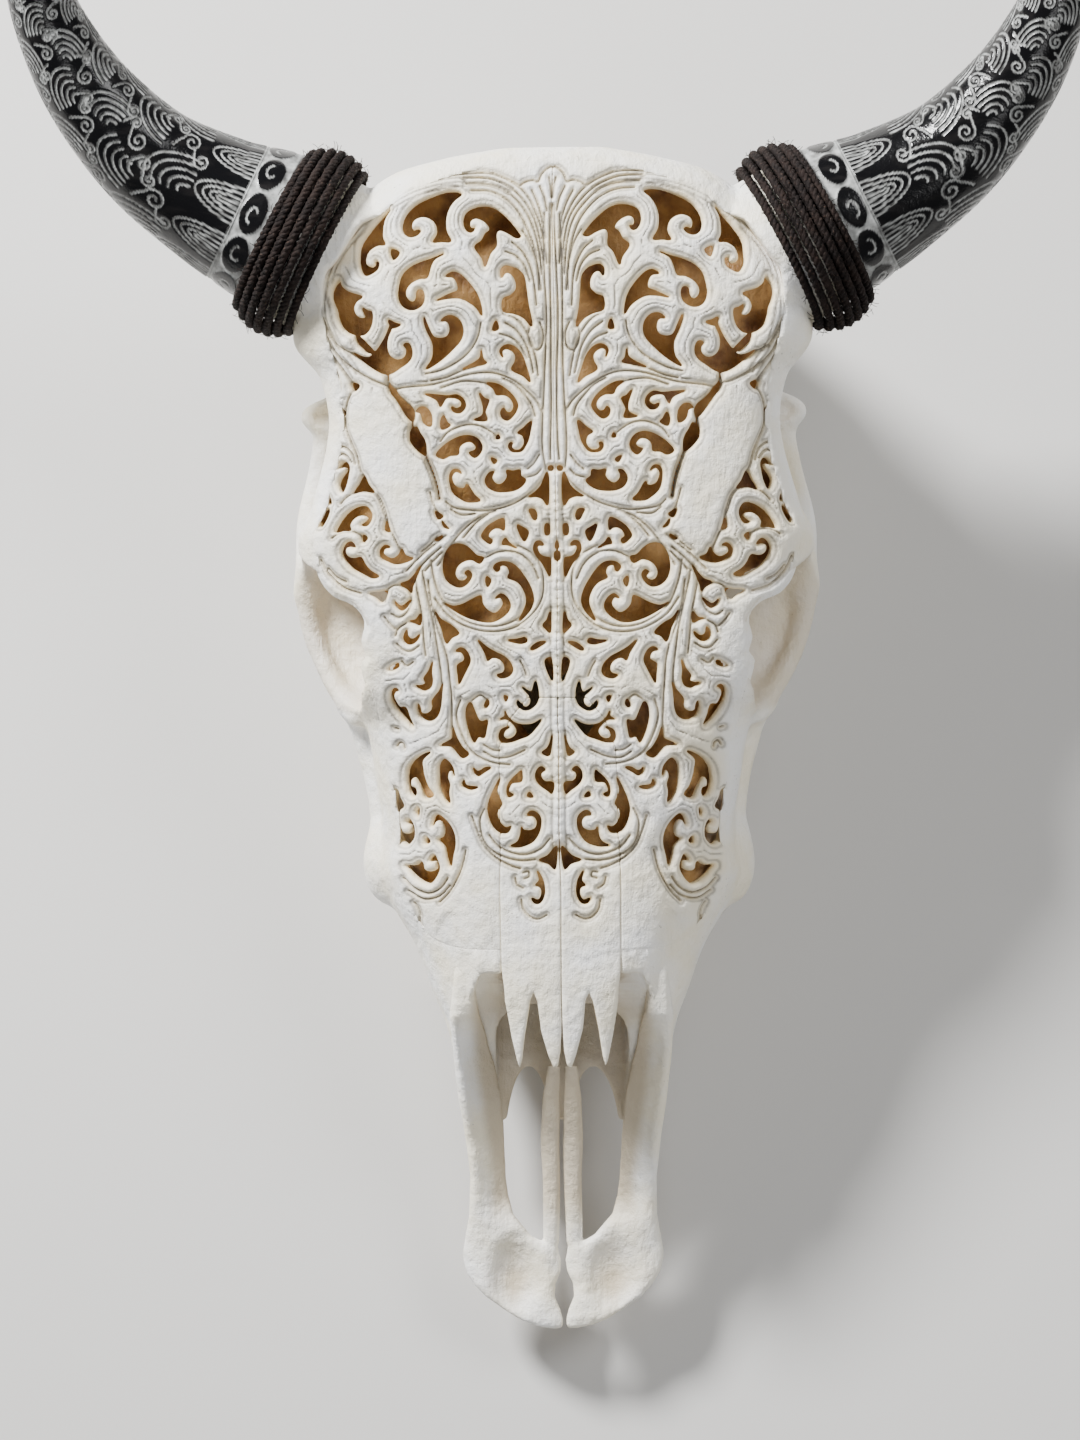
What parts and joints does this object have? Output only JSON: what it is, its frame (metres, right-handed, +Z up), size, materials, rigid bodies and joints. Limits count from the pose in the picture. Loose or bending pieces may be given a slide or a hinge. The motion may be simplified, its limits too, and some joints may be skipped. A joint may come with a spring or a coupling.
{
  "type": "carved cow skull",
  "caption": "Horned cow skull with pierced scroll carving, lying on its cheek teeth, with cord bound round the horn bases.",
  "frame": {"origin": "on the surface that the skull lies on, under the middle of the whole object's box", "axes": "+Z up, +Y from the nose to the poll, +X to the viewer's right when the forehead is looked at with the poll at the top"},
  "size_m": [0.4359, 0.5816, 0.2537],
  "materials": {
    "bone": "bleached bone, matt to satin, cream on cut edges and ochre inside",
    "teeth": "worn ivory enamel",
    "horn": "polished black horn with pale engraved lines",
    "cord": "dark brown twisted fibre cord"
  },
  "bodies": {
    "root": {"skull": "bone", "nasal_bone_left": "bone", "nasal_bone_right": "bone", "premaxilla_left": "bone", "premaxilla_right": "bone", "horn_left": "horn", "horn_right": "horn", "horn_wrap_left": "cord", "horn_wrap_right": "cord", "molar_3_left": "teeth", "molar_2_left": "teeth", "molar_1_left": "teeth", "premolar_3_left": "teeth", "premolar_2_left": "teeth", "premolar_1_left": "teeth", "molar_3_right": "teeth", "molar_2_right": "teeth", "molar_1_right": "teeth", "premolar_3_right": "teeth", "premolar_2_right": "teeth", "premolar_1_right": "teeth"}
  },
  "joints": []
}
